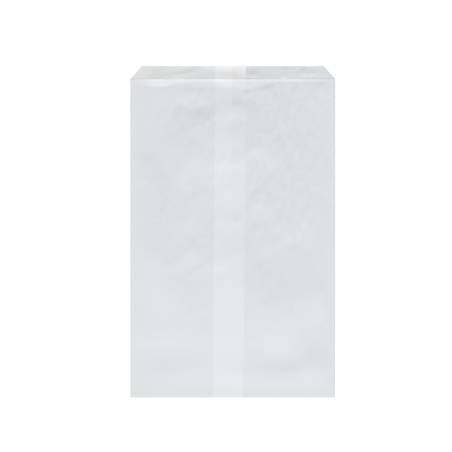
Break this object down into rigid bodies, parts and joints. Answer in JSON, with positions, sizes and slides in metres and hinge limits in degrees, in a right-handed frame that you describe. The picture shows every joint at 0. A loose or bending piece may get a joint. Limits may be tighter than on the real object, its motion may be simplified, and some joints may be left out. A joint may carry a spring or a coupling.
{
  "type": "paper bag",
  "caption": "Flat white takeaway bag folded from one sheet of thin paper, with a lapped back seam, a turned-up glued bottom and a stepped lip at its mouth.",
  "frame": {"origin": "middle of the bag's footprint, on the surface that its back lies on", "axes": "+X to the right as the front is seen, +Y up the bag towards its mouth, +Z out of the front"},
  "size_m": [0.165, 0.267, 0.0076],
  "materials": {
    "paper": "matte"
  },
  "bodies": {
    "root": {"bag": "paper"}
  },
  "joints": []
}
